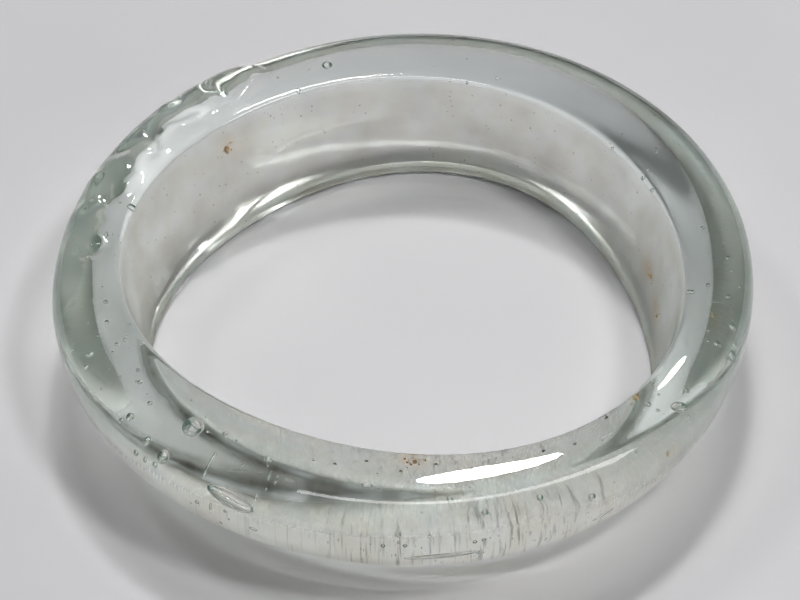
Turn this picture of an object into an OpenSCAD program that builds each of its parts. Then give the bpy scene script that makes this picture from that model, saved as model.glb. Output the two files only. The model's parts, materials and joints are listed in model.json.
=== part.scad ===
// Hand-formed clear glass bangle: a thick half-round ring with a tapered bore, a fused lap where
// the two ends of the hot glass met, trapped air bubbles, and grit left in the wall of the bore.
// Millimetres, +Z up. The origin is at the centre of the outside, on the face that the ring rests on.

/* [Outside] */
// Greatest radius of the outside, at the belly
outer_r = 40; // [38:0.5:44]
// Height of the belly, the widest level, above the resting face
belly_z = 10.9; // [9.5:0.1:12.5]
// Rise of the nearly flat crown above the belly
crown_rise = 3.8; // [3.6:0.1:5]
// Radius at which the top of the crown is level
crown_r = 31.5; // [30:0.5:32]
// Tight radius of the shoulder between the belly and the crown
shoulder_r = 3.5; // [2.5:0.1:3.6]
// Outer radius of the flat foot that the ring rests on
foot_r = 31; // [30.5:0.1:33]
// Tight radius of the heel that curves into the foot
heel_r = 8; // [5:0.1:8.5]

/* [Bore] */
// Radius of the narrow end of the bore, which a hand has to pass
bore_r = 28.6; // [26:0.1:29]
// Radius that the tapered wall reaches at the level of the crown
mouth_r = 30.8; // [29.5:0.1:32]
// Length of the straight stretch of wall at the narrow end
bore_land = 3; // [2:0.5:4]
// How far the bore sits off the centre of the outside, away from the lap
bore_shift = 1; // [0:0.1:1.2]
// Radius of the rounded edge at the wide end of the bore
rim_r = 0.8; // [0.4:0.1:1.2]
// Radius of the rounded edge at the narrow end of the bore
sole_r = 0.6; // [0.4:0.1:0.9]

/* [Lap] */
// Direction of the middle of the lap, counted from +X towards +Y
lap_azimuth = 135; // [100:1:160]
// Radius of the rounded tongue of glass that was laid over
lap_r = 3; // [2.5:0.1:3.5]
// Radius of the bend of the tongue, tighter than the ring so that its ends run inwards
lap_bend = 25; // [20:0.5:28]
// How far the tongue stands above the crown
lap_proud = 0.6; // [0.3:0.05:0.8]
// How far in from the belly the middle of the tongue lies
lap_inset = 3.6; // [3.3:0.1:4.2]
// Slope of the tongue along the ring, which leaves the end further from +X higher
lap_slope = 3; // [0:1:4]
// Tilt of the tongue's bend, which sinks both ends below the crown
lap_dip = 28; // [24:1:32]

/* [Inclusions] */
// Size of a grain of parting clay
clay_size = 0.8; // [0.6:0.1:1.4]
// Size of a fleck of iron scale
fleck_size = 0.4; // [0.3:0.1:0.8]
// Number of flecks along the wall
fleck_count = 9; // [4:1:12]
// Share of a grain's size that lies behind the wall, measured to its middle
grain_depth = 0.3; // [0.2:0.05:0.4]
// Gap between a grain and the glass that closed round it
seat_gap = 0.02; // [0.01:0.01:0.05]

/* [Hidden] */
$fn = 96;

ring_h = belly_z + crown_rise;

// The most that a tight radius may take of the shorter half axis of its curve
tight_share = 0.95;

// How far a cutter runs past the face that it cuts
overrun = 1;

// Angle of the tongue about its own bend, long enough to sink both ends
lap_sweep = 80;

// Round air bubbles: direction, depth in from the belly, rise above the belly, diameter
bubbles = [
    [-132, 5.5, 1.6, 2.4],
    [-116, 5.8, 2.0, 0.9],
    [-131, 1.6, 0.9, 1.4],
    [-142, 2.1, 1.8, 0.9],
    [-97, 4.9, 2.0, 1.0],
    [-61, 1.0, 0, 0.9],
    [-40, 2.4, 1.8, 1.4],
    [-24, 1.6, 1.1, 1.3],
    [105, 5.8, 2.0, 1.3],
    [164, 7.1, 1.8, 1.1],
];

// Bubbles drawn flat as lenses: direction, depth, rise, diameter, thickness, lean of the lens
blisters = [
    [-120, 3.5, 0, 5.4, 1.2, 45],
    [-85, 3.2, -3.4, 4.0, 0.7, 20],
];

// Grains of clay: direction about the bore, height as a share of the tapered wall
clay_places = [
    [133, 0.7],
    [8, 0.25],
    [-2, 0.11],
    [-38, 0.28],
    [-89, 0.65],
];

// Flecks lie along this arc of the wall, their heights spread by the golden ratio
fleck_from = -110;
fleck_to = -45;
fleck_low = 0.2;
fleck_high = 0.65;
golden = (1 + sqrt(5)) / 2;

// How the second set of a grain's broken faces is turned against the first
grain_turn = [35, 40, 25];

// Tapered wall of the bore: where it starts, its length, its slope and its radius at a height
taper_z = sole_r + bore_land;
taper_h = ring_h - taper_z;
taper_angle = atan((mouth_r - bore_r) / taper_h);

function wall_r(z) = bore_r + max(0, z - taper_z) * tan(taper_angle);

function taper_height(share) = taper_z + share * taper_h;

function fleck_height(i) =
    let (spread = i * golden - floor(i * golden))
    fleck_low + spread * (fleck_high - fleck_low);

// Radius of the broad arc that meets the tight one smoothly on a two-arc quarter oval
function broad_r(long, short, tight) =
    (long * long + short * short - 2 * long * tight) / (2 * (short - tight));

// Quarter of an oval with its long half axis along X, drawn from one broad and one tight arc
module quarter_oval_long(long, short, tight) {
    broad = broad_r(long, short, tight);
    broad_centre = [0, short - broad];
    tight_centre = [long - tight, 0];
    away = (tight_centre - broad_centre) / norm(tight_centre - broad_centre);
    past = tight_centre + 2 * short * away;
    intersection() {
        translate(broad_centre) circle(broad);
        polygon([[0, 0], [0, 2 * short], past, tight_centre]);
    }
    intersection() {
        translate(tight_centre) circle(tight);
        polygon([tight_centre, past, [2 * long, past[1]], [2 * long, 0]]);
    }
}

// The same quarter for half axes of any order
module quarter_oval(width, height, wanted) {
    tight = min(wanted, tight_share * min(width, height));
    if (width >= height) quarter_oval_long(width, height, tight);
    else mirror([1, -1]) quarter_oval_long(height, width, tight);
}

// Half of the outside's section, from the axis out to the belly
module outside_section() {
    translate([crown_r, belly_z]) quarter_oval(outer_r - crown_r, crown_rise, shoulder_r);
    translate([0, belly_z]) square([crown_r, crown_rise]);
    translate([foot_r, belly_z]) mirror([0, 1]) quarter_oval(outer_r - foot_r, belly_z, heel_r);
    square([foot_r, belly_z]);
}

// Tongue of hot glass laid over the start of the ring and melted into it, with its ends sunk in
module lap() {
    rotate([0, 0, lap_azimuth])
        translate([outer_r - lap_inset, 0, ring_h + lap_proud - lap_r])
        rotate([lap_slope, -lap_dip, 0])
        translate([-lap_bend, 0, 0])
        rotate([0, 0, -lap_sweep / 2])
        rotate_extrude(angle = lap_sweep) translate([lap_bend, 0]) circle(lap_r);
}

// Section of what the forming mandrel leaves open: straight, then tapered, with rounded edges
module bore_section() {
    rim_centre = [wall_r(ring_h - rim_r) + rim_r / cos(taper_angle), ring_h - rim_r];
    rim_touch = rim_centre + rim_r * [-cos(taper_angle), sin(taper_angle)];
    sole_centre = [bore_r + sole_r, sole_r];
    above = ring_h + overrun;
    polygon([[0, -overrun], [bore_r, -overrun], [bore_r, taper_z], rim_touch,
        [rim_touch[0], above], [0, above]]);
    difference() {
        translate([bore_r, -overrun]) square([sole_r, sole_r + overrun]);
        translate(sole_centre) circle(sole_r);
    }
    difference() {
        polygon([rim_touch, [rim_touch[0], above], [rim_centre[0], above], rim_centre]);
        translate(rim_centre) circle(rim_r);
    }
}

module bore() {
    translate([0, -bore_shift, 0]) rotate_extrude() bore_section();
}

// Puts a bubble at a direction, a depth in from the belly and a rise above it
module in_glass(direction, depth, rise) {
    rotate([0, 0, direction]) translate([outer_r - depth, 0, belly_z + rise]) children();
}

// Flat bubble between two equal spherical faces
module lens(diameter, thickness) {
    face_r = (diameter * diameter + thickness * thickness) / (4 * thickness);
    intersection_for (side = [-1, 1])
        translate([0, 0, side * (face_r - thickness / 2)]) sphere(face_r);
}

module bubble_voids() {
    for (b = bubbles) in_glass(b[0], b[1], b[2]) sphere(d = b[3]);
    for (b = blisters) in_glass(b[0], b[1], b[2]) rotate([0, b[5], 0]) lens(b[3], b[4]);
}

// Broken grain: two blocks turned against each other leave a rough ball with flat faces
module grain(size) {
    intersection() {
        cube(size, center = true);
        rotate(grain_turn) cube(size, center = true);
    }
}

// Sets a grain into the wall of the bore, with room round it when it is the pocket
module on_wall(direction, share, size, room) {
    z = taper_height(share);
    translate([0, -bore_shift, 0])
        rotate([0, 0, direction])
        translate([wall_r(z) + grain_depth * size, 0, z])
        grain(size + 2 * room);
}

module clay_grains(room) {
    for (place = clay_places) on_wall(place[0], place[1], clay_size, room);
}

module iron_flecks(room) {
    for (i = [0 : fleck_count - 1]) {
        direction = fleck_from + (fleck_to - fleck_from) * (i + 0.5) / fleck_count;
        on_wall(direction, fleck_height(i), fleck_size, room);
    }
}

// The whole body of the bangle, one piece of fire-polished soda glass
module glass_ring() {
    color("LightCyan", 0.5)
        difference() {
            union() {
                rotate_extrude() outside_section();
                lap();
            }
            bore();
            bubble_voids();
            clay_grains(seat_gap);
            iron_flecks(seat_gap);
        }
}

// Grains of the clay that kept the hot glass from sticking to its mandrel
module clay_grit() {
    color("Peru") clay_grains(0);
}

// Dark flecks of scale from the iron mandrel
module scale_flecks() {
    color("DimGray") iron_flecks(0);
}

glass_ring();
clay_grit();
scale_flecks();
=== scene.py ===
import json
from math import atan2, cos, degrees, exp, hypot, pi, radians, sin, sqrt
from random import Random

import bmesh
import bpy
from mathutils import Matrix, Vector, noise
from mathutils.bvhtree import BVHTree


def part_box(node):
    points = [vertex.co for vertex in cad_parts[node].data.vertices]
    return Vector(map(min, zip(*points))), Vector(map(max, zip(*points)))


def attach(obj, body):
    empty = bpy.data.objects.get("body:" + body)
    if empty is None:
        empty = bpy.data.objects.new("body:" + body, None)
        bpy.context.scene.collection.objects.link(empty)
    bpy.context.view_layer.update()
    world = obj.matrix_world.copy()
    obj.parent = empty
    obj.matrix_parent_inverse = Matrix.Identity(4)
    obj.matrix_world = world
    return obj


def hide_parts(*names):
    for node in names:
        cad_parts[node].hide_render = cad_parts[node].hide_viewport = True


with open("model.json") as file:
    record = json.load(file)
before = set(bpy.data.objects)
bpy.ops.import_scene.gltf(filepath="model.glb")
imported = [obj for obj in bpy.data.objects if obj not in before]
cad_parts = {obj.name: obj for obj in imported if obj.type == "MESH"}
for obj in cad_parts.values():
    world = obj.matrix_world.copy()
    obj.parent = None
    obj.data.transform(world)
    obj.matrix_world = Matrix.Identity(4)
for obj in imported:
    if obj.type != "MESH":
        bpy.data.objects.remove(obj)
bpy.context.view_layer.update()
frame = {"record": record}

# Viewpoint
# The ring is seen from in front and above through a long lens, so that its bore, its crown and
# its front wall show at once. The figures come from a fit to the ring's outlines in the picture.
MM = 0.001
IMAGE_W = 800
IMAGE_H = 600
FOCAL_PIXELS = 3000
SENSOR_WIDTH = 36
NEAREST_SEEN = 10 * MM
VIEW_DISTANCE = 347.3 * MM
VIEW_ELEVATION = radians(45.26)
VIEW_PAN = radians(0.11)
VIEW_TILT = radians(0.87)
VIEW_ROLL = radians(-1.46)
mounts = {mount["name"]: mount for mount in frame["record"]["mounts"]}
wrist_bore = mounts["wrist_bore"]
bore_centre = Vector((wrist_bore["pos_m"][0], wrist_bore["pos_m"][1], 0))

level_turn = Matrix.Rotation(radians(90) - VIEW_ELEVATION, 3, "X")
view_turn = level_turn @ Matrix.Rotation(VIEW_PAN, 3, "Y")
view_turn = view_turn @ Matrix.Rotation(VIEW_TILT, 3, "X") @ Matrix.Rotation(VIEW_ROLL, 3, "Z")
view_point = bore_centre + level_turn @ Vector((0, 0, VIEW_DISTANCE))

camera = bpy.data.objects.new("camera", bpy.data.cameras.new("camera"))
camera.matrix_world = Matrix.Translation(view_point) @ view_turn.to_4x4()
camera.data.sensor_width = SENSOR_WIDTH
camera.data.lens = FOCAL_PIXELS * SENSOR_WIDTH / IMAGE_W
camera.data.clip_start = NEAREST_SEEN
bpy.context.scene.collection.objects.link(camera)
bpy.context.scene.camera = camera
bpy.context.scene.view_settings.view_transform = "Standard"

# Glass ring
# One thick ring of clear soda glass, wound hot on a clay-coated mandrel and fire-polished outside.
# Its crown is nearly flat, its belly round and its bore tapered, and hand work leaves it a little
# out of round.
ring_low, ring_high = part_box("glass_ring")
OUTER_R = (ring_high.x - ring_low.x) / 2
RING_H = 14.7 * MM
BORE_R = wrist_bore["dims"]["r_mm"] * MM
BORE_LAND = wrist_bore["dims"]["length_mm"] * MM
MOUTH_R = 30.8 * MM
RIM_R = 0.8 * MM
SOLE_R = 0.6 * MM
CROWN_R = MOUTH_R + RIM_R
CROWN_RISE = 3.8 * MM
SHOULDER_R = 3.5 * MM
BELLY_Z = RING_H - CROWN_RISE
FOOT_R = 30 * MM
HEEL_R = 8 * MM
ARC_STEPS = 14
EDGE_STEPS = 6
WALL_STEPS = 16
SPIN_STEPS = 600
GLASS_IOR = 1.52

# Departures from round, in millimetres: turns of the wave about the ring, cosine part, sine part
OUTSIDE_WAVER = ((2, -0.40, 0.30), (3, -0.27, -0.15))
MOUTH_WAVER = ((1, 0, -0.2), (2, 0.55, -1.1), (3, -0.65, -0.35))
SOLE_WAVER = ((1, -0.05, -0.1), (2, -0.25, -0.3), (3, -0.95, -0.8))


def arc(centre, radius, start, end, steps):
    angles = [radians(start + (end - start) * i / steps) for i in range(steps + 1)]
    return [(centre[0] + radius * cos(a), centre[1] + radius * sin(a)) for a in angles]


# A quarter of an oval made of a broad arc and a tight one that meet smoothly
def quarter_oval(long, short, tight):
    broad = (long ** 2 + short ** 2 - 2 * long * tight) / (2 * (short - tight))
    joint = degrees(atan2(broad - short, long - tight))
    broad_arc = arc((0, short - broad), broad, 90, joint, ARC_STEPS)
    tight_arc = arc((long - tight, 0), tight, joint, 0, ARC_STEPS)
    return broad_arc + tight_arc[1:]


def wave(angle, terms):
    return MM * sum(a * cos(k * angle) + b * sin(k * angle) for k, a, b in terms)


def wall_r(z):
    return BORE_R + (MOUTH_R - BORE_R) * min(max(z / RING_H, 0), 1)


crown_line = quarter_oval(OUTER_R - CROWN_R, CROWN_RISE, SHOULDER_R)
heel_line = quarter_oval(BELLY_Z, OUTER_R - FOOT_R, HEEL_R)
wall_z = [SOLE_R + (RING_H - RIM_R - SOLE_R) * i / WALL_STEPS for i in range(1, WALL_STEPS)]
section = arc((BORE_R + SOLE_R, SOLE_R), SOLE_R, 270, 180, EDGE_STEPS)
section += [(wall_r(z), z) for z in wall_z]
section += arc((CROWN_R, RING_H - RIM_R), RIM_R, 180, 90, EDGE_STEPS)
section += [(CROWN_R + out, BELLY_Z + up) for out, up in crown_line[1:]]
section += [(FOOT_R + out, BELLY_Z - down) for down, out in heel_line[1:]]

ring = bmesh.new()
outline = [ring.verts.new((r, 0, z)) for r, z in section]
edges = [ring.edges.new((a, b)) for a, b in zip(outline, outline[1:] + outline[:1])]
bmesh.ops.spin(
    ring, geom=outline + edges, axis=(0, 0, 1), angle=2 * pi, steps=SPIN_STEPS, use_merge=True)
bmesh.ops.recalc_face_normals(ring, faces=ring.faces)
ring.normal_update()

# The lap: a tongue of glass laid over the start of the ring. It ends in a blunt step, fades out along
# the ring, and was pressed into lumps and dents.
LAP_TIP = radians(116)
LAP_MIDDLE = 0.6
LAP_BLUNT = radians(62)
LAP_EDGE = radians(2.2)
LAP_FADE = (radians(138), radians(176))
LAP_HEIGHT = 0.6 * MM

# Lumps and dents of the lap: azimuth, share of the way from the bore to the belly, height, reach
LUMPS = (
    (155, 0.55, 0.50, 2.2), (140, 0.25, 0.45, 1.6), (134, 0.50, -0.55, 2.0), (150, 0.30, -0.50, 1.6),
    (146, 0.55, -0.50, 1.4), (165, 0.45, -0.55, 1.8), (172, 0.60, 0.40, 2.2), (125, 0.70, 0.35, 1.6),
    (160, 0.25, 0.40, 1.5), (128, 0.35, -0.40, 1.4), (151, 0.75, -0.45, 1.6), (180, 0.45, -0.35, 2.0),
    (121, 0.45, 0.35, 1.3), (137, 0.75, 0.40, 1.3), (143, 0.40, 0.40, 1.2), (168, 0.75, 0.40, 1.5),
    (159, 0.80, 0.35, 1.2), (175, 0.30, 0.30, 1.4),
)

# Faint waviness of the fire-polished outside. It and the lap rise between two shares of the way from
# the bore to the belly.
RIPPLE_HEIGHT = 0.05 * MM
RIPPLE_SIZE = 9 * MM
POLISH_SHARES = (0.05, 0.3)


def ramp(value, start, end):
    share = min(max((value - start) / (end - start), 0), 1)
    return share * share * (3 - 2 * share)


def lap_rise(angle, share, r):
    tip = LAP_TIP + LAP_BLUNT * (share - LAP_MIDDLE) ** 2
    rise = LAP_HEIGHT * ramp(angle, tip, tip + LAP_EDGE) * (1 - ramp(angle, *LAP_FADE))
    for azimuth, lump_share, height, reach in LUMPS:
        along = r * (angle - radians(azimuth))
        across = (share - lump_share) * (OUTER_R - BORE_R)
        rise += height * MM * exp(-(along ** 2 + across ** 2) / (reach * MM) ** 2)
    return rise


# Grains of clay in the wall of the bore: direction about the bore, share of its tapered height, size
# in millimetres. The hot clay has stained the glass round each of them.
CLAY_PLACES = (
    (133, 0.7, 0.8), (8, 0.25, 0.7), (-2, 0.11, 0.6), (-38, 0.28, 0.5), (-89, 0.65, 0.45),
)
TAPER_Z = SOLE_R + BORE_LAND
STAIN_REACH = 1.8 * MM

# The wall of the bore is satin, and the sole below it is darker towards the table.
SATIN_SHARE = 0.04
SOLE_DARK_TOP = 1.4 * MM
SOLE_DARK_SHARES = (0.06, 0.14)

# The wall was dragged off the mandrel hardest at the front, where its marks and fine pepper lie and
# its satin is roughest.
DRAG_MIDDLE = radians(-85)
DRAG_REACH = radians(50)
FROST_REACH = radians(75)
FROST_LEAST = 0.6


def taper_height(share):
    return TAPER_Z + share * (RING_H - TAPER_Z)


def turn_from(direction, angle):
    return (angle - direction + pi) % (2 * pi) - pi


def stain_at(angle, z):
    amount = 0
    for direction, share, _ in CLAY_PLACES:
        away = hypot(BORE_R * turn_from(radians(direction), angle), z - taper_height(share))
        amount = max(amount, exp(-(away / STAIN_REACH) ** 2))
    return amount


def near_front(angle, reach):
    return exp(-(turn_from(DRAG_MIDDLE, angle) / reach) ** 2)


satin = ring.verts.layers.float.new("satin")
sole_dark = ring.verts.layers.float.new("sole_dark")
stain = ring.verts.layers.float.new("stain")
drag = ring.verts.layers.float.new("drag")
frost = ring.verts.layers.float.new("frost")
for vert in ring.verts:
    r = hypot(vert.co.x, vert.co.y)
    z = vert.co.z
    angle = atan2(vert.co.y, vert.co.x)
    share = min(max((r - wall_r(z)) / (OUTER_R - wall_r(z)), 0), 1)
    on_bore = SOLE_R < z < RING_H - RIM_R / 2
    vert[satin] = max(0, 1 - share / SATIN_SHARE) if on_bore else 0
    # The foot of the bore wall and the inner edge of the sole are darkened towards the table
    vert[sole_dark] = (1 - ramp(z, 0, SOLE_DARK_TOP)) * (1 - ramp(share, *SOLE_DARK_SHARES))
    vert[stain] = vert[satin] * stain_at(angle, z)
    vert[drag] = vert[satin] * near_front(angle, DRAG_REACH)
    vert[frost] = vert[satin] * (FROST_LEAST + (1 - FROST_LEAST) * near_front(angle, FROST_REACH))
    polished = ramp(share, *POLISH_SHARES) * ramp(z, SOLE_R, BELLY_Z)
    ripple = RIPPLE_HEIGHT * noise.noise(vert.co / RIPPLE_SIZE)
    vert.co += vert.normal * polished * (ripple + lap_rise(angle, share, r))
    inner = wave(angle, SOLE_WAVER) * (1 - z / RING_H) + wave(angle, MOUTH_WAVER) * z / RING_H
    inner += bore_centre.y * sin(angle)
    shift = inner * (1 - share) + wave(angle, OUTSIDE_WAVER) * share
    vert.co += Vector((cos(angle), sin(angle), 0)) * shift

skin = BVHTree.FromBMesh(ring)

# Air bubbles, which are cavities in the glass. Each is set by its place in the picture, its depth
# behind the surface and its size: the sight line is bent into the glass and followed that deep.
BUBBLES = (
    (193, 427, 2.2, 2.4), (268, 459, 1.8, 0.9), (225, 434, 1.6, 0.6), (163, 457, 1.6, 1.4),
    (130, 417, 1.4, 0.9), (121, 421, 1.2, 0.6), (136, 453, 1.3, 0.7), (155, 465, 1.2, 0.7),
    (145, 460, 2.2, 0.5), (150, 403, 2.0, 0.6), (147, 441, 2.6, 0.8), (106, 302, 2.0, 0.6),
    (107, 322, 1.6, 0.6), (125, 340, 2.4, 0.5), (117, 344, 1.8, 0.5), (90, 354, 1.6, 0.7),
    (86, 367, 1.3, 0.6), (138, 370, 2.4, 0.5), (140, 382, 2.0, 0.6), (197, 502, 1.0, 0.6),
    (225, 511, 1.2, 0.4), (221, 523, 0.9, 0.4), (450, 499, 1.4, 0.7), (485, 512, 1.5, 0.8),
    (540, 497, 1.4, 0.7), (592, 497, 1.2, 0.9), (398, 534, 1.4, 0.7), (405, 546, 1.1, 0.5),
    (475, 542, 1.2, 0.5), (430, 536, 1.8, 0.4), (484, 540, 1.4, 0.5), (383, 546, 1.2, 0.5),
    (648, 404, 2.2, 0.7), (657, 410, 2.6, 0.4), (686, 390, 1.8, 0.5), (732, 356, 1.3, 1.3),
    (726, 359, 2.4, 0.5), (732, 327, 1.4, 0.8), (717, 344, 1.7, 0.8), (708, 341, 2.6, 0.4),
    (728, 297, 1.5, 0.7), (708, 285, 2.2, 0.5), (740, 287, 1.0, 0.5), (728, 258, 1.6, 0.6),
    (692, 292, 2.6, 0.6), (643, 178, 0.8, 0.5), (652, 190, 0.8, 0.5), (612, 149, 0.8, 0.4),
    (648, 170, 0.7, 0.3), (702, 228, 1.8, 0.5), (327, 65, 1.5, 1.3), (298, 90, 0.8, 0.6),
    (498, 78, 1.2, 0.6), (450, 83, 0.7, 0.3), (467, 83, 0.7, 0.3), (133, 208, 1.2, 0.9),
)
BUBBLE_DETAIL = 3

# Bubbles drawn out long while the glass was worked: place, depth, length, thickness, slope downhill
BLISTERS = (
    (230, 499, 1.2, 5.6, 1.7, 24), (442, 556, 1.1, 8.0, 0.9, -5), (603, 515, 0.9, 2.6, 0.6, -22),
    (608, 435, 2.2, 2.2, 0.3, -32), (678, 406, 1.8, 1.7, 1.0, -20), (367, 485, 1.8, 1.2, 0.7, 8),
    (253, 529, 0.9, 1.0, 0.5, 15),
)
BLISTER_DETAIL = 4

# The finest bubbles, called seeds, lie all through the glass. Each keeps its own width clear.
SEED_COUNT = 150
SEED_SIZES = (0.12, 0.34)
SEED_TRIES = 900
SEED_DETAIL = 2
SEED_DRAWS = 7

# The most that a bubble takes of the glass between its middle and the nearest surface
BUBBLE_MARGIN = 0.88
bubbles = bmesh.new()
taken = []


def sight_line(x, y):
    aim = Vector((x - IMAGE_W / 2, IMAGE_H / 2 - y, -FOCAL_PIXELS))
    return (view_turn @ aim).normalized()


def into_glass(x, y, depth):
    aim = sight_line(x, y)
    place, normal, _, _ = skin.ray_cast(view_point, aim)
    facing = -aim.dot(normal)
    inward = sqrt(1 - (1 - facing ** 2) / GLASS_IOR ** 2)
    bent = aim / GLASS_IOR + normal * (facing / GLASS_IOR - inward)
    return place + bent * depth * MM, bent


def blow(centre, half_sizes, turn, detail):
    shape = Matrix.LocRotScale(centre, turn, half_sizes)
    bmesh.ops.create_icosphere(bubbles, subdivisions=detail, radius=1, matrix=shape)
    taken.append((centre, max(half_sizes)))


for x, y, depth, length, thickness, slope in BLISTERS:
    centre, away = into_glass(x, y, depth)
    across = view_turn @ Vector((cos(radians(slope)), -sin(radians(slope)), 0))
    across = (across - away * across.dot(away)).normalized()
    turn = Matrix((across, away.cross(across), away)).transposed().to_quaternion()
    half = min(thickness * MM / 2, BUBBLE_MARGIN * skin.find_nearest(centre)[3])
    blow(centre, Vector((length * MM / 2, half, half)), turn, BLISTER_DETAIL)
for x, y, depth, size in BUBBLES:
    centre, _ = into_glass(x, y, depth)
    half = min(size * MM / 2, BUBBLE_MARGIN * skin.find_nearest(centre)[3])
    blow(centre, Vector((half, half, half)), None, BUBBLE_DETAIL)

chance = Random(SEED_DRAWS)
seeds_left = SEED_COUNT
for _ in range(SEED_TRIES):
    angle = chance.uniform(-pi, pi)
    r = chance.uniform(BORE_R, OUTER_R)
    centre = Vector((r * cos(angle), r * sin(angle), chance.uniform(0, RING_H)))
    half = chance.uniform(*SEED_SIZES) * MM / 2
    near, normal, _, gap = skin.find_nearest(centre)
    inside = (centre - near).dot(normal) < 0
    clear = all((centre - other).length > reach + 2 * half for other, reach in taken)
    if seeds_left and inside and gap > 2 * half and clear:
        blow(centre, Vector((half, half, half)), None, SEED_DETAIL)
        seeds_left -= 1
bmesh.ops.reverse_faces(bubbles, faces=bubbles.faces)
bubble_mesh = bpy.data.meshes.new("bubbles")
bubbles.to_mesh(bubble_mesh)
ring.from_mesh(bubble_mesh)
bpy.data.meshes.remove(bubble_mesh)

ring_mesh = bpy.data.meshes.new("glass_ring_body")
ring.to_mesh(ring_mesh)
ring_mesh.shade_smooth()
glass_body = bpy.data.objects.new("glass_ring_body", ring_mesh)
bpy.context.scene.collection.objects.link(glass_body)
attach(glass_body, "root")
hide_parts("glass_ring")

# Soda glass: clear and smooth outside with a faint green body, and satin in the bore, where the clay
# coat left a warm film, pits, upright drag marks, smears and dark specks.
PIT_SIZE = 0.3 * MM
PIT_DEPTH = 0.02 * MM
STREAK_SIZE = 0.3 * MM
STREAK_DEPTH = 0.05 * MM
STREAK_STRETCH = 0.14
RELIEF_STRENGTH = 0.5
PATCH_SIZE = 4 * MM
SPECK_SPACING = 0.7 * MM
SMEAR_SIZE = 7 * MM
PEPPER_SPACING = 0.32 * MM
BODY_TINT = "#cde9df"
BODY_DENSITY = 16.0
CLEAN_COLOUR = "#ffffff"
FILM_COLOUR = "#efe6d8"
STAIN_COLOUR = "#e8cba6"
# Colour of the dirt on the wall, also used to darken the sole towards the table
DIRT_AND_SOLE_COLOUR = "#5c564a"

# How the value of a pattern turns into roughness, or into an amount of film, dirt or clear glass
FROST_RANGE = {"From Min": 0.35, "From Max": 0.65, "To Min": 0.7, "To Max": 0.9}
FILM_RANGE = {"From Min": 0.35, "From Max": 0.6, "To Min": 0.4, "To Max": 0.9}
SPECK_RANGE = {"From Min": 0.08, "From Max": 0.22, "To Min": 0.8, "To Max": 0.0}
SPECK_CHOICE = {"From Min": 0.45, "From Max": 0.9}
SMEAR_RANGE = {"From Min": 0.3, "From Max": 0.75, "To Min": 0.0, "To Max": 0.3}
STREAK_RANGE = {"From Min": 0.54, "From Max": 0.68, "To Min": 0.0, "To Max": 0.6}
PEPPER_RANGE = {"From Min": 0.12, "From Max": 0.3, "To Min": 0.9, "To Max": 0.0}
PEPPER_CHOICE = {"From Min": 0.45, "From Max": 0.75}
CLEAR_RANGE = {"To Min": 1.0, "To Max": 0.1}


# Linear colour from an sRGB hex code
def linear(hex_colour):
    parts = [int(hex_colour[i:i + 2], 16) / 255 for i in (1, 3, 5)]
    return [p / 12.92 if p <= 0.04045 else ((p + 0.055) / 1.055) ** 2.4 for p in parts] + [1]


def add(tree, kind, links=None, values=None, **settings):
    made = tree.nodes.new(kind)
    for name, value in settings.items():
        setattr(made, name, value)
    for socket, value in (values or {}).items():
        made.inputs[socket].default_value = value
    for socket, source in (links or {}).items():
        tree.links.new(source, made.inputs[socket])
    return made


glass = bpy.data.materials.new("fire_polished_soda_glass")
glass.use_nodes = True
tree = glass.node_tree
tree.nodes.clear()
spot = add(tree, "ShaderNodeTexCoord").outputs["Object"]
matt = add(tree, "ShaderNodeAttribute", attribute_name="satin").outputs["Fac"]
darker_sole = add(tree, "ShaderNodeAttribute", attribute_name="sole_dark").outputs["Fac"]
stained = add(tree, "ShaderNodeAttribute", attribute_name="stain").outputs["Fac"]
dragged = add(tree, "ShaderNodeAttribute", attribute_name="drag").outputs["Fac"]
frosted = add(tree, "ShaderNodeAttribute", attribute_name="frost").outputs["Fac"]
upright = add(tree, "ShaderNodeMapping", {"Vector": spot}, {"Scale": (1, 1, STREAK_STRETCH)}).outputs[0]
patches = add(tree, "ShaderNodeTexNoise", {"Vector": spot}, {"Scale": 1 / PATCH_SIZE, "Detail": 4.0})
pits = add(tree, "ShaderNodeTexNoise", {"Vector": spot}, {"Scale": 1 / PIT_SIZE, "Detail": 2.0})
streaks = add(tree, "ShaderNodeTexNoise", {"Vector": upright}, {"Scale": 1 / STREAK_SIZE, "Detail": 2.0})
smears = add(tree, "ShaderNodeTexNoise", {"Vector": spot}, {"Scale": 1 / SMEAR_SIZE, "Detail": 2.0})
specks = add(tree, "ShaderNodeTexVoronoi", {"Vector": spot}, {"Scale": 1 / SPECK_SPACING})
pepper = add(tree, "ShaderNodeTexVoronoi", {"Vector": spot}, {"Scale": 1 / PEPPER_SPACING})

# Roughness and relief of the satin wall
uneven = add(tree, "ShaderNodeMapRange", {"Value": patches.outputs["Fac"]}, FROST_RANGE)
rough = add(tree, "ShaderNodeMath", {0: uneven.outputs[0], 1: frosted}, operation="MULTIPLY")
pitted = add(tree, "ShaderNodeMath", {0: pits.outputs["Fac"], 1: matt}, operation="MULTIPLY")
scored = add(tree, "ShaderNodeMath", {0: streaks.outputs["Fac"], 1: dragged}, operation="MULTIPLY")
fine = add(
    tree, "ShaderNodeBump", {"Height": pitted.outputs[0]},
    {"Strength": RELIEF_STRENGTH, "Distance": PIT_DEPTH})
relief = add(
    tree, "ShaderNodeBump", {"Height": scored.outputs[0], "Normal": fine.outputs[0]},
    {"Strength": RELIEF_STRENGTH, "Distance": STREAK_DEPTH})
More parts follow.
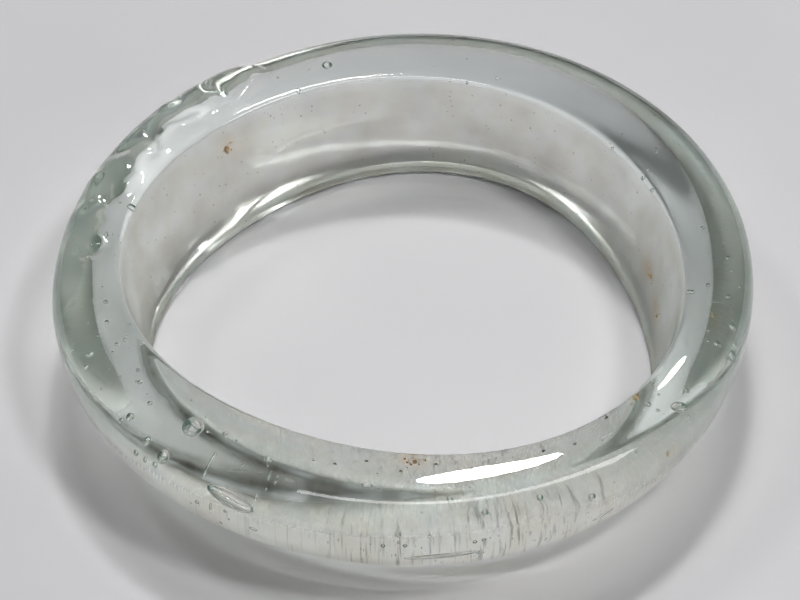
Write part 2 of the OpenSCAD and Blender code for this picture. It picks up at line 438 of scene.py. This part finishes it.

# Specks and smears away from the front of the wall, pepper and drag marks at it, and the darker sole
rest = add(tree, "ShaderNodeMath", {0: matt, 1: dragged}, operation="SUBTRACT")
dots = add(tree, "ShaderNodeMapRange", {"Value": specks.outputs["Distance"]}, SPECK_RANGE)
some = add(tree, "ShaderNodeMapRange", {"Value": specks.outputs["Color"]}, SPECK_CHOICE)
few = add(tree, "ShaderNodeMath", {0: dots.outputs[0], 1: some.outputs[0]}, operation="MULTIPLY")
smeared = add(tree, "ShaderNodeMapRange", {"Value": smears.outputs["Fac"]}, SMEAR_RANGE)
dusty = add(tree, "ShaderNodeMath", {0: smeared.outputs[0], 1: few.outputs[0]}, operation="MAXIMUM")
spotted = add(tree, "ShaderNodeMath", {0: dusty.outputs[0], 1: rest.outputs[0]}, operation="MULTIPLY")
marks = add(tree, "ShaderNodeMapRange", {"Value": streaks.outputs["Fac"]}, STREAK_RANGE)
ground = add(tree, "ShaderNodeMapRange", {"Value": pepper.outputs["Distance"]}, PEPPER_RANGE)
chosen = add(tree, "ShaderNodeMapRange", {"Value": pepper.outputs["Color"]}, PEPPER_CHOICE)
peppered = add(tree, "ShaderNodeMath", {0: ground.outputs[0], 1: chosen.outputs[0]}, operation="MULTIPLY")
marked = add(tree, "ShaderNodeMath", {0: peppered.outputs[0], 1: marks.outputs[0]}, operation="MAXIMUM")
scuffs = add(tree, "ShaderNodeMath", {0: marked.outputs[0], 1: dragged}, operation="MULTIPLY")
wall_dirt = add(tree, "ShaderNodeMath", {0: spotted.outputs[0], 1: scuffs.outputs[0]}, operation="MAXIMUM")
film = add(tree, "ShaderNodeMapRange", {"Value": patches.outputs["Fac"]}, FILM_RANGE)
sole_darkness = add(tree, "ShaderNodeMath", {0: film.outputs[0], 1: darker_sole}, operation="MULTIPLY")
dirt_and_dark_sole = add(tree, "ShaderNodeMath", {0: wall_dirt.outputs[0], 1: sole_darkness.outputs[0]}, operation="MAXIMUM")

# Film on the wall, stains round the clay, then dirt and the darker sole, which also let less light through
clouded = add(tree, "ShaderNodeMath", {0: film.outputs[0], 1: matt}, operation="MULTIPLY")
blush = add(tree, "ShaderNodeMath", {0: film.outputs[0], 1: stained}, operation="MULTIPLY")
filmed = add(
    tree, "ShaderNodeMix", {"Factor": clouded.outputs[0]},
    {6: linear(CLEAN_COLOUR), 7: linear(FILM_COLOUR)}, data_type="RGBA")
tinted = add(
    tree, "ShaderNodeMix", {"Factor": blush.outputs[0], 6: filmed.outputs[2]},
    {7: linear(STAIN_COLOUR)}, data_type="RGBA")
colour = add(
    tree, "ShaderNodeMix", {"Factor": dirt_and_dark_sole.outputs[0], 6: tinted.outputs[2]},
    {7: linear(DIRT_AND_SOLE_COLOUR)}, data_type="RGBA")
clear = add(tree, "ShaderNodeMapRange", {"Value": dirt_and_dark_sole.outputs[0]}, CLEAR_RANGE)
surface = add(
    tree, "ShaderNodeBsdfPrincipled",
    {"Base Color": colour.outputs[2], "Roughness": rough.outputs[0], "Normal": relief.outputs[0],
     "Transmission Weight": clear.outputs[0]},
    {"IOR": GLASS_IOR})
body = add(
    tree, "ShaderNodeVolumeAbsorption", None, {"Color": linear(BODY_TINT), "Density": BODY_DENSITY})
add(tree, "ShaderNodeOutputMaterial", {"Surface": surface.outputs[0], "Volume": body.outputs[0]})
ring_mesh.materials.append(glass)

# Clay grit
# Crumbs of the clay that kept the hot glass off its mandrel, torn away with the bangle and half sunk
# in the wall of the bore. Each is a broken grain with finer crumbs round it.
CRUMB_SIZES = (0.12, 0.3)
CRUMB_COUNT = 7
CRUMB_SPREAD = 1.1 * MM
GRAIN_DEPTH = 0.3
GRAIN_DETAIL = 3
BROKEN_HEIGHT = 0.35
BROKEN_PITCH = 1.7


def on_wall(direction, z):
    away = Vector((cos(direction), sin(direction), 0))
    place, normal, _, _ = skin.ray_cast(bore_centre + Vector((0, 0, z)), away)
    return place, normal


def add_grain(mesh, direction, z, half_sizes):
    place, normal = on_wall(direction, z)
    turn = normal.to_track_quat("Z", "Y")
    centre = place - normal * GRAIN_DEPTH * 2 * half_sizes.z
    shape = Matrix.LocRotScale(centre, turn, half_sizes)
    made = bmesh.ops.create_icosphere(mesh, subdivisions=GRAIN_DETAIL, radius=1, matrix=shape)
    for vert in made["verts"]:
        way = (vert.co - centre) / max(half_sizes)
        broken = noise.noise(BROKEN_PITCH * way + centre / MM)
        vert.co += (vert.co - centre) * BROKEN_HEIGHT * broken


def add_piece(name, mesh, node):
    bmesh.ops.recalc_face_normals(mesh, faces=mesh.faces)
    data = bpy.data.meshes.new(name)
    mesh.to_mesh(data)
    data.shade_smooth()
    piece = bpy.data.objects.new(name, data)
    bpy.context.scene.collection.objects.link(piece)
    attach(piece, "root")
    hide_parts(node)
    return data


clay = bmesh.new()
for direction, share, size in CLAY_PLACES:
    half = size * MM / 2
    z = taper_height(share)
    add_grain(clay, radians(direction), z, Vector((half, half, half)))
    for _ in range(CRUMB_COUNT):
        half = chance.uniform(*CRUMB_SIZES) * MM / 2
        aside = chance.uniform(-1, 1) * CRUMB_SPREAD / BORE_R
        up = chance.uniform(-1, 1) * CRUMB_SPREAD
        add_grain(clay, radians(direction) + aside, z + up, Vector((half, half, half)))
clay_mesh = add_piece("clay_grit_body", clay, "clay_grit")

# Fired clay: dry, matt and sandy, from brown to the colour of sand
CLAY_DARK = "#b18a58"
CLAY_PALE = "#ead2a8"
CLAY_TEXTURE = 0.15 * MM
CLAY_RELIEF = 0.03 * MM
CLAY_ROUGHNESS = 0.9
CLAY_IOR = 1.5
fired_clay = bpy.data.materials.new("fired_clay")
fired_clay.use_nodes = True
tree = fired_clay.node_tree
tree.nodes.clear()
spot = add(tree, "ShaderNodeTexCoord").outputs["Object"]
sand = add(tree, "ShaderNodeTexNoise", {"Vector": spot}, {"Scale": 1 / CLAY_TEXTURE, "Detail": 4.0})
hue = add(
    tree, "ShaderNodeMix", {"Factor": sand.outputs["Fac"]},
    {6: linear(CLAY_DARK), 7: linear(CLAY_PALE)}, data_type="RGBA")
relief = add(
    tree, "ShaderNodeBump", {"Height": sand.outputs["Fac"]},
    {"Strength": RELIEF_STRENGTH, "Distance": CLAY_RELIEF})
surface = add(
    tree, "ShaderNodeBsdfPrincipled", {"Base Color": hue.outputs[2], "Normal": relief.outputs[0]},
    {"Roughness": CLAY_ROUGHNESS, "IOR": CLAY_IOR})
add(tree, "ShaderNodeOutputMaterial", {"Surface": surface.outputs[0]})
clay_mesh.materials.append(fired_clay)

# Scale flecks
# Thin dark flakes of oxide from the iron mandrel, lying flat in the wall of the bore. They lie along
# its front, their heights spread by the golden ratio.
FLECK_COUNT = 9
FLECK_SIZE = 0.4 * MM
FLECK_SHAPE = Vector((0.5, 0.4, 0.25))
FLECK_FROM = -110
FLECK_TO = -45
FLECK_LOW = 0.2
FLECK_HIGH = 0.65
GOLDEN = (1 + sqrt(5)) / 2
flecks = bmesh.new()
for i in range(FLECK_COUNT):
    direction = FLECK_FROM + (FLECK_TO - FLECK_FROM) * (i + 0.5) / FLECK_COUNT
    share = FLECK_LOW + (i * GOLDEN) % 1 * (FLECK_HIGH - FLECK_LOW)
    add_grain(flecks, radians(direction), taper_height(share), FLECK_SHAPE * FLECK_SIZE)
fleck_mesh = add_piece("scale_flecks_body", flecks, "scale_flecks")

# Iron scale: grey-black oxide, browner where it has rusted
SCALE_DARK = "#2a2622"
SCALE_RUSTED = "#5a4636"
SCALE_TEXTURE = 0.12 * MM
SCALE_RELIEF = 0.02 * MM
SCALE_ROUGHNESS = 0.7
SCALE_IOR = 2.4
iron_scale = bpy.data.materials.new("iron_scale")
iron_scale.use_nodes = True
tree = iron_scale.node_tree
tree.nodes.clear()
spot = add(tree, "ShaderNodeTexCoord").outputs["Object"]
flake = add(tree, "ShaderNodeTexNoise", {"Vector": spot}, {"Scale": 1 / SCALE_TEXTURE, "Detail": 3.0})
hue = add(
    tree, "ShaderNodeMix", {"Factor": flake.outputs["Fac"]},
    {6: linear(SCALE_DARK), 7: linear(SCALE_RUSTED)}, data_type="RGBA")
relief = add(
    tree, "ShaderNodeBump", {"Height": flake.outputs["Fac"]},
    {"Strength": RELIEF_STRENGTH, "Distance": SCALE_RELIEF})
surface = add(
    tree, "ShaderNodeBsdfPrincipled", {"Base Color": hue.outputs[2], "Normal": relief.outputs[0]},
    {"Roughness": SCALE_ROUGHNESS, "IOR": SCALE_IOR})
add(tree, "ShaderNodeOutputMaterial", {"Surface": surface.outputs[0]})
fleck_mesh.materials.append(iron_scale)

# Floor
# A plain pale table top, well past the picture's edges, that takes the ring's shadow. It lies a
# hair below the foot, so that the two faces don't touch.
FLOOR_HALF = 2.0
FLOOR_GAP = 0.03 * MM
FLOOR_DARK = "#d2d1d4"
FLOOR_PALE = "#dedddf"
FLOOR_ROUGHNESS = 0.45
CLOUD_SIZE = 35 * MM
floor_bm = bmesh.new()
floor_level = Matrix.Translation((0, 0, -FLOOR_GAP))
bmesh.ops.create_grid(floor_bm, x_segments=2, y_segments=2, size=FLOOR_HALF, matrix=floor_level)
floor_mesh = bpy.data.meshes.new("floor")
floor_bm.to_mesh(floor_mesh)
floor = bpy.data.objects.new("floor", floor_mesh)
bpy.context.scene.collection.objects.link(floor)
table_top = bpy.data.materials.new("pale_table_top")
table_top.use_nodes = True
tree = table_top.node_tree
tree.nodes.clear()
spot = add(tree, "ShaderNodeTexCoord").outputs["Object"]
clouds = add(tree, "ShaderNodeTexNoise", {"Vector": spot}, {"Scale": 1 / CLOUD_SIZE, "Detail": 3.0})
shade = add(
    tree, "ShaderNodeMix", {"Factor": clouds.outputs["Fac"]},
    {6: linear(FLOOR_DARK), 7: linear(FLOOR_PALE)}, data_type="RGBA")
surface = add(
    tree, "ShaderNodeBsdfPrincipled", {"Base Color": shade.outputs[2]}, {"Roughness": FLOOR_ROUGHNESS})
add(tree, "ShaderNodeOutputMaterial", {"Surface": surface.outputs[0]})
floor_mesh.materials.append(table_top)

# Light
# Three soft keys light the table. Two small lamps and a long strip are mirrored by the crown and the
# shoulder, and a dim room, brighter overhead, fills the shadows.
SKY_LOW = 0.05
SKY_HIGH = 0.16
SKY_RISE = (0.35, 0.95)
SKY_COLOUR = "#ffffff"

# Lamps: the place each is aimed at in millimetres, azimuth, elevation, size in metres, brightness
LAMPS = {
    "back_lamp": ((5, -34, 14.6), 84.5, 56, (0.125, 0.085), 66),
    "side_lamp": ((30, -20, 14.6), 75, 48.5, (0.035, 0.03), 40),
    "strip": ((5, -37, 14), -23, 69, (1.5, 0.18), 7.5),
    "right_key": ((0, 0, 0), -20, 62, (0.18, 0.18), 29),
    "left_key": ((0, 0, 0), 95, 60, (0.18, 0.18), 18),
    "rear_key": ((0, 0, 0), 140, 50, (0.18, 0.18), 12),
}
LAMP_DISTANCE = 1.0
LAMP_RUN = Vector((1, 0, 0))
STRIP_RUN = Vector((0.94, -0.34, 0))

# The strip lights no matt surface, no key is mirrored, and the left key isn't seen through the glass.
NOT_MIRRORED = ("right_key", "left_key", "rear_key")
NOT_IN_THE_OPEN = ("strip",)
NOT_THROUGH_GLASS = ("left_key",)
for name, (aimed_at, azimuth, elevation, size, brightness) in LAMPS.items():
    azimuth = radians(azimuth)
    elevation = radians(elevation)
    way = Vector((cos(azimuth) * cos(elevation), sin(azimuth) * cos(elevation), sin(elevation)))
    lamp = bpy.data.objects.new(name, bpy.data.lights.new(name, "AREA"))
    lamp.data.shape = "RECTANGLE" if name == "strip" else "ELLIPSE"
    lamp.data.size = size[0]
    lamp.data.size_y = size[1]
    lamp.data.energy = brightness * pi * size[0] * size[1]
    lamp.visible_glossy = name not in NOT_MIRRORED
    lamp.visible_diffuse = name not in NOT_IN_THE_OPEN
    lamp.visible_transmission = name not in NOT_THROUGH_GLASS
    side = STRIP_RUN if name == "strip" else LAMP_RUN
    up = way.cross(side).normalized()
    side = up.cross(way)
    stand = Matrix.Translation(Vector(aimed_at) * MM + way * LAMP_DISTANCE)
    lamp.matrix_world = stand @ Matrix((side, up, way)).transposed().to_4x4()
    bpy.context.scene.collection.objects.link(lamp)

world = bpy.data.worlds.new("studio")
bpy.context.scene.world = world
world.use_nodes = True
tree = world.node_tree
tree.nodes.clear()
place = add(tree, "ShaderNodeTexCoord")
parts = add(tree, "ShaderNodeSeparateXYZ", {0: place.outputs["Generated"]})
glow = add(
    tree, "ShaderNodeMapRange", {"Value": parts.outputs["Z"]},
    {"From Min": SKY_RISE[0], "From Max": SKY_RISE[1], "To Min": SKY_LOW, "To Max": SKY_HIGH},
    interpolation_type="SMOOTHSTEP")
sky = add(tree, "ShaderNodeBackground", {"Strength": glow.outputs[0]}, {"Color": linear(SKY_COLOUR)})
add(tree, "ShaderNodeOutputWorld", {"Surface": sky.outputs[0]})

# Light crosses the thick glass many times before it comes out, and a filter on mirrored light would
# darken the floor that is seen through it.
MOST_BOUNCES = 32
GLASS_BOUNCES = 24
bpy.context.scene.cycles.max_bounces = MOST_BOUNCES
bpy.context.scene.cycles.glossy_bounces = GLASS_BOUNCES
bpy.context.scene.cycles.transmission_bounces = GLASS_BOUNCES
bpy.context.scene.cycles.blur_glossy = 0
